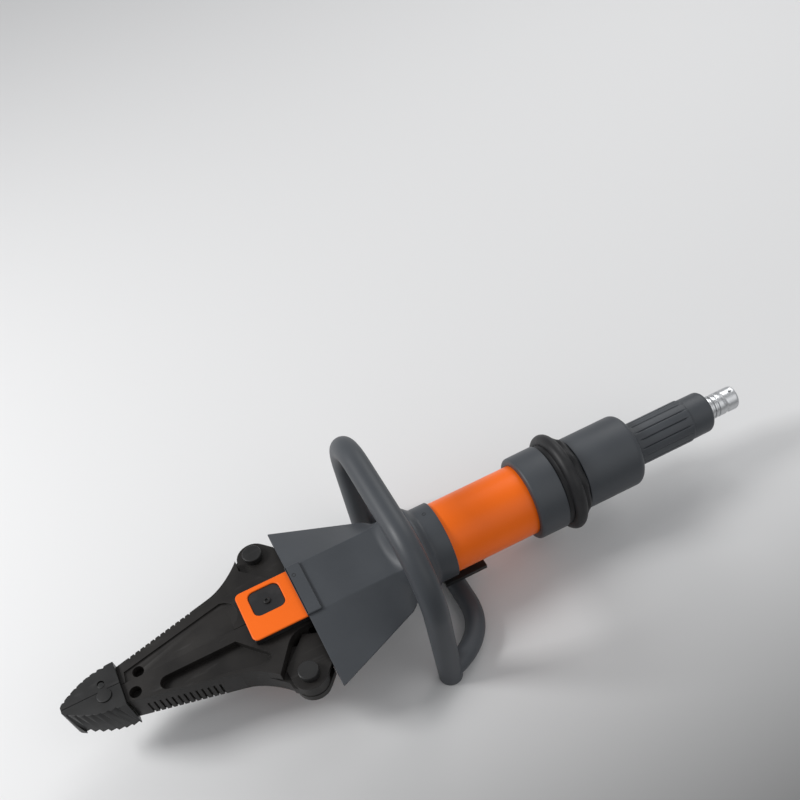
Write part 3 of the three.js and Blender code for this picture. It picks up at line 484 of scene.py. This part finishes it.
def cover_angles():
    """Polar angles of a ring's points: evenly spread, with more of them near the side corners and the
    four panel corners, where the outline turns."""
    corner = math.atan2(PANEL_TOP, PANEL_HALF)
    spread = np.linspace(-0.22, 0.22, 23)
    tight = np.linspace(-0.03, 0.03, 31)
    parts = [np.linspace(0, 2 * np.pi, 181)[:-1]]
    for centre in (0.0, np.pi):
        parts.append(centre + tight)
        parts.append(centre + spread)
    for centre in (corner, np.pi - corner, np.pi + corner, 2 * np.pi - corner):
        parts.append(centre + spread)
    return np.unique(np.round(np.concatenate(parts) % (2 * np.pi), 5))


COVER_ANGLES = cover_angles()
WALL = 3 * MM
EDGE = 0.6 * MM
outer_x = np.concatenate([
    [RIM + EDGE, RIM + 2 * EDGE],
    np.linspace(RIM + 12 * MM, NECK - 6 * MM, 8),
    np.linspace(NECK - 4 * MM, ROUND_AT, 16),
    np.linspace(SLOPE_START - 1 * MM, SLOPE_END + 1 * MM, 12),
    [COLLAR_END - 2 * EDGE, COLLAR_END - EDGE],
])
rings = [cover_ring(RIM, EDGE)]
rings += [cover_ring(x, 0) for x in outer_x]
rings += [cover_ring(COLLAR_END, EDGE), cover_ring(COLLAR_END, WALL - 0.4 * MM)]
rings += [cover_ring(x, WALL if x < SLOPE_START else WALL - 0.4 * MM) for x in outer_x[::-1][2:-1]]
rings += [cover_ring(RIM, WALL)]
cover_points = np.concatenate(rings)
cover_faces = grid_faces(len(rings), len(COVER_ANGLES), wrap_rows=True)
cover = skin("cover_shell", cover_points, cover_faces)
finish_piece(cover, "cover", smooth=24)

for sign, place in ((1, "upper"), (-1, "lower")):
    inner, outer = PANEL_TOP - 0.9 * MM, LIP_TOP
    low, high = sorted((AXIS[2] + sign * inner, AXIS[2] + sign * outer))
    edge = 32.3 * MM
    outline = [
        (RIM - 1 * MM, edge, 0.6 * MM), (LIP_REAR, edge, 1.5 * MM),
        (LIP_REAR, -edge, 1.5 * MM), (RIM - 1 * MM, -edge, 0.6 * MM),
    ]
    band = slab(f"cover_{place}_lip", outline, low, high, 1.4 * MM, extra=True)
    finish_piece(band, "cover")

low, high, middle = span("cover_lip_screw")
face = AXIS[2] + LIP_TOP + 0.2 * MM
corners = [
    (face - 2.2 * MM, 0, 0), (face - 2.2 * MM, 1.6 * MM, 0.1 * MM), (face, 1.6 * MM, 0.1 * MM),
    (face, 2.2 * MM, 0.3 * MM), (low[2], 2.2 * MM, 0.2 * MM), (low[2], 0, 0),
]
pin_along_z("lip_cap_screw", "cover_lip_screw", corners, columns=48)

tilt = math.radians(79)
outwards = np.array([0, math.cos(tilt), math.sin(tilt)])
corners = [
    (COLLAR - 2 * MM, 0, 0), (COLLAR - 2 * MM, 1.6 * MM, 0.1 * MM),
    (COLLAR + 0.2 * MM, 1.6 * MM, 0.1 * MM),
    (COLLAR + 0.2 * MM, 2.1 * MM, 0.2 * MM), (COLLAR - 2.6 * MM, 2.1 * MM, 0.1 * MM),
    (COLLAR - 2.6 * MM, 0, 0),
]
collar_screw = turned(
    "collar_set_screw", corners, AXIS + REARWARD * (COLLAR_END - 10 * MM), outwards, columns=48, extra=True
)
finish_piece(collar_screw, "cover_lip_screw")

# ---------------------------------------------------------------- cylinder, housings, ring and grip
low, high, middle = span("cylinder_tube")
tube_r = (high[1] - low[1]) / 2
corners = [
    (low[0], 32 * MM, 0.4 * MM), (low[0], tube_r, 0.6 * MM),
    (high[0], tube_r, 0.6 * MM), (high[0], 32 * MM, 0.4 * MM),
]
finish_piece(turned("cylinder_barrel", corners, AXIS, columns=128), "cylinder_tube")

low, high, middle = span("front_housing")
shell_r = (high[1] - low[1]) / 2
x0, x1 = low[0], high[0]
corners = [
    (x0, tube_r + 0.3 * MM, 0.2 * MM), (x0, shell_r - 0.2 * MM, 5 * MM), (x1, shell_r, 1.2 * MM),
    (x1, 31 * MM, 0.5 * MM), (x1 - 4 * MM, 31 * MM, 0.3 * MM), (x1 - 4 * MM, 41 * MM, 1 * MM),
    (x0 + 12 * MM, 41 * MM, 1 * MM), (x0 + 12 * MM, tube_r + 0.3 * MM, 0.3 * MM),
]
finish_piece(turned("front_housing_shell", corners, AXIS, columns=128, steps=8), "front_housing")

low, high, middle = span("control_ring")
ring_r = (high[1] - low[1]) / 2
x0 = low[0]


def ring_lobes(along, angle, radius):
    """Shallow scallops on the skirt behind the ring's round tread."""
    behind = np.clip((along - (x0 + 18 * MM)) / (4 * MM), 0, 1)
    outside = radius > 40 * MM
    return radius + behind * outside * 0.9 * MM * np.cos(10 * angle)


tread_angle = np.radians(np.linspace(196, -16, 30))
TREAD_AT, TREAD_R = 11.3 * MM, 7 * MM  # the round tread's middle behind the ring's front, and its radius
tread = [
    (x0 + TREAD_AT + TREAD_R * math.cos(a), ring_r - TREAD_R + TREAD_R * math.sin(a), 0) for a in tread_angle
]
corners = [
    (x0 + 1 * MM, 37.4 * MM, 0.2 * MM), (x0, 43.5 * MM, 0.8 * MM),
    (x0 + 3.6 * MM, 44.2 * MM, 0.6 * MM), *tread,
    (x0 + 19.2 * MM, 44.2 * MM, 0.6 * MM), (x0 + 23.5 * MM, 44.8 * MM, 1.5 * MM),
    (high[0], 41.2 * MM, 0.8 * MM), (high[0], 37.4 * MM, 0.2 * MM),
]
finish_piece(
    turned("control_ring_tread", corners, AXIS, columns=160, swell=ring_lobes, steps=6), "control_ring"
)

low, high, middle = span("rear_housing")
rear_r = (high[1] - low[1]) / 2
x0, x1 = low[0], high[0]
corners = [
    (x0, rear_r - 4 * MM, 0.3 * MM), (x0, rear_r, 1.2 * MM), (x1 - 3.2 * MM, rear_r, 8 * MM),
    (x1 - 1.5 * MM, 25.5 * MM, 3 * MM), (x1, 24.4 * MM, 0.8 * MM), (x1, 19 * MM, 0.4 * MM),
    (x1 - 9 * MM, 19 * MM, 1 * MM), (x1 - 13 * MM, rear_r - 4 * MM, 6 * MM),
]
finish_piece(turned("rear_housing_shell", corners, AXIS, columns=128, steps=10), "rear_housing")

low, high, middle = span("rear_grip")
grip_r = (high[1] - low[1]) / 2
x0, x1 = low[0], high[0]
RIB_COUNT = 16
RIB_FADE = 5 * MM
RIB_END = x0 + 67 * MM


def grip_ribs(along, angle, radius):
    """Long raised panels round the grip, parted by narrow rounded valleys, that fade out at both ends."""
    wave = np.abs(np.cos(angle * RIB_COUNT / 2))
    panel = np.clip((wave - 0.06) / 0.24, 0, 1)
    panel = panel * panel * (3 - 2 * panel)
    fade_in = np.clip((along - x0 - 3 * MM) / RIB_FADE, 0, 1)
    fade_out = np.clip((RIB_END - 2 * MM - along) / RIB_FADE, 0, 1)
    fade = fade_in * fade_out
    outside = radius > 20 * MM
    return radius - outside * fade * (1 - panel) * 1.2 * MM


stations = [(x, grip_r, 0) for x in np.linspace(x0 + 2 * MM, RIB_END - 1 * MM, 40)]
corners = [
    (x0, 13 * MM, 0.3 * MM), (x0, grip_r, 0.8 * MM), *stations,
    (RIB_END, grip_r - 1.0 * MM, 0.6 * MM), (x1 - 2 * MM, grip_r - 1.2 * MM, 6 * MM),
    (x1, 15 * MM, 2 * MM), (x1, 10.5 * MM, 0.3 * MM),
    (x1 - 6 * MM, 10.5 * MM, 0.5 * MM), (x1 - 12 * MM, 13 * MM, 0.5 * MM),
]
finish_piece(
    turned("ribbed_rear_grip", corners, AXIS, columns=280, swell=grip_ribs, steps=8), "rear_grip", smooth=40
)

low, high, middle = span("coupler_body")
nose_r = (high[1] - low[1]) / 2
x0, x1 = low[0], high[0]


def coupler_groove(along, angle, radius):
    """A helical bayonet groove on the nose of the coupler, over a third of a turn."""
    start = x0 + 16 * MM
    turn = ((angle - 0.9) % (2 * np.pi)) / (2 * np.pi)
    centre = start + 14 * MM * turn
    depth = np.exp(-(((along - centre) / (1.3 * MM)) ** 2)) * (turn < 0.75)
    return radius - 1.2 * MM * depth * (radius > nose_r - 1.5 * MM)


stations = [(x, nose_r, 0) for x in np.linspace(x0 + 13 * MM, x1 - 2 * MM, 40)]
corners = [
    (x0, 7.5 * MM, 0.2 * MM), (x0, nose_r, 0.3 * MM), (x0 + 4 * MM, nose_r, 0.5 * MM),
    (x0 + 4.6 * MM, nose_r - 1.3 * MM, 0.4 * MM), (x0 + 6.4 * MM, nose_r - 1.3 * MM, 0.4 * MM),
    (x0 + 7 * MM, nose_r, 0.5 * MM), (x0 + 9 * MM, nose_r, 0.5 * MM),
    (x0 + 9.6 * MM, nose_r - 1.3 * MM, 0.4 * MM), (x0 + 11.4 * MM, nose_r - 1.3 * MM, 0.4 * MM),
    (x0 + 12 * MM, nose_r, 0.5 * MM), *stations, (x1, nose_r - 0.6 * MM, 0.6 * MM),
    (x1, 9 * MM, 0.4 * MM), (x1 - 15 * MM, 9 * MM, 0.3 * MM), (x1 - 15 * MM, 7.5 * MM, 0.3 * MM),
]
finish_piece(turned("coupler_nose", corners, AXIS, columns=128, swell=coupler_groove), "coupler_body")

# ---------------------------------------------------------------- loop handle and struts
low, high, middle = span("loop_handle")
loop_r = (high[0] - low[0]) / 2
loop_half = high[1] - loop_r
loop_top = high[2] - loop_r
loop_bend = 66.5 * MM
quarter = np.linspace(0, np.pi / 2, 28)
leg = np.linspace(low[2], loop_top - loop_bend, 10)[:-1]
rise_y = np.concatenate([np.full(9, loop_half), loop_half - loop_bend * (1 - np.cos(quarter))])
rise_z = np.concatenate([leg, loop_top - loop_bend * (1 - np.sin(quarter))])
half_path = np.stack([np.full(len(rise_y), middle[0]), rise_y, rise_z], -1)
other_half = half_path[::-1] * np.array([1, -1, 1])
loop_path = np.vstack([half_path, [[middle[0], 0, loop_top]], other_half])
finish_piece(tube("loop_handle_bar", loop_path, REARWARD, loop_r, 48), "loop_handle")

STRUT_STRAIGHT = 45 * MM
STRUT_RUN = 44 * MM
INTO_LEG = 8 * MM  # the strut ends inside the handle's leg, as if welded to it
for hand, sign in (("right", 1), ("left", -1)):
    low, high, middle = span(f"{hand}_strut")
    strut_r = (high[2] - low[2]) / 2
    x_line = high[0] - strut_r
    inner_y = min(abs(low[1]), abs(high[1]))
    t = np.linspace(0, 1, 36)[:, None]
    a = np.array([x_line, STRUT_STRAIGHT])
    b = np.array([x_line, 2 * STRUT_STRAIGHT])
    c = np.array([x_line - STRUT_RUN, loop_half - 2 * MM])
    bend = (1 - t) ** 2 * a + 2 * t * (1 - t) * b + t * t * c
    straight = np.stack([np.full(8, x_line), np.linspace(inner_y, STRUT_STRAIGHT, 9)[:-1]], -1)
    onward = (c - b) / np.linalg.norm(c - b)
    flat = np.vstack([straight, bend, c + onward * INTO_LEG / 2, c + onward * INTO_LEG])
    path = np.column_stack([flat[:, 0], sign * flat[:, 1], np.full(len(flat), middle[2])])
    piece = tube(f"{hand}_strut_bar", path, UP * sign, strut_r, 40)
    finish_piece(piece, f"{hand}_strut")

# ---------------------------------------------------------------- camera, light and floor
CAMERA_AT = (-0.1481, -0.5649, 0.8651)
RIGHT = (0.89167, -0.42286, -0.16165)
UPWARD = (0.43818, 0.71644, 0.54287)
BACKWARD = (-0.11375, -0.55489, 0.82412)
camera_data = bpy.data.cameras.new("camera")
camera_data.sensor_width = 36
camera_data.lens = 42.807
camera_data.shift_x = 0.0066
camera_data.shift_y = 0.236
camera = bpy.data.objects.new("camera", camera_data)
camera.matrix_world = Matrix([
    (RIGHT[i], UPWARD[i], BACKWARD[i], CAMERA_AT[i]) for i in range(3)
] + [(0, 0, 0, 1)])
bpy.context.scene.collection.objects.link(camera)
bpy.context.scene.camera = camera


def soft_light(name, at, towards, size, watts):
    """A square lamp at one point, turned to face another."""
    lamp = bpy.data.lights.new(name, "AREA")
    lamp.shape = "SQUARE"
    lamp.size = size
    lamp.energy = watts
    obj = bpy.data.objects.new(name, lamp)
    back = np.array(at, float) - np.array(towards, float)
    back /= np.linalg.norm(back)
    side = np.cross((0, 1, 0.01), back)
    side /= np.linalg.norm(side)
    up = np.cross(back, side)
    obj.matrix_world = Matrix([(side[i], up[i], back[i], at[i]) for i in range(3)] + [(0, 0, 0, 1)])
    bpy.context.scene.collection.objects.link(obj)
    return obj


soft_light("key_light", (-1.5, 0.6, 1.35), (0, 0, 0.05), 0.6, 27)
soft_light("fill_light", (0.9, -1.4, 1.4), (0, 0, 0.05), 1.6, 6)
soft_light("rear_light", (1.2, 1.0, 1.3), (0.1, 0, 0.05), 1.0, 9)

world = bpy.data.worlds.new("studio")
world.use_nodes = True
world.node_tree.nodes["Background"].inputs["Color"].default_value = (0.9, 0.91, 0.93, 1)
world.node_tree.nodes["Background"].inputs["Strength"].default_value = 0.5
bpy.context.scene.world = world
bpy.context.scene.view_settings.view_transform = "Standard"

floor_mesh = bpy.data.meshes.new("floor")
reach = 6.0
floor_corners = [(-reach, -reach, 0), (reach, -reach, 0), (reach, reach, 0), (-reach, reach, 0)]
floor_mesh.from_pydata(floor_corners, [], [(0, 1, 2, 3)])
floor = bpy.data.objects.new("floor", floor_mesh)
floor.location.z = cad_box[0][2] - 0.0005
bpy.context.scene.collection.objects.link(floor)
# The floor's colour is painted shade: it fades from pale grey near the tool to dark grey towards -Y, the side
# nearest the camera, standing in for the tool's soft shadow and a darker lower backdrop.
floor_finish = Finish("floor_with_painted_shade", Roughness=0.75)
across = floor_finish.node("ShaderNodeSeparateXYZ", {}, {"Vector": floor_finish.place}, 1)
painted_shade_ramp = floor_finish.range(across + floor_finish.noise(0.5) * 0.02, -0.42, -0.02)
floor_finish.feed(Base_Color=floor_finish.between(painted_shade_ramp, (0.15, 0.15, 0.15), (0.72, 0.72, 0.72)))
floor.data.materials.append(floor_finish.material)
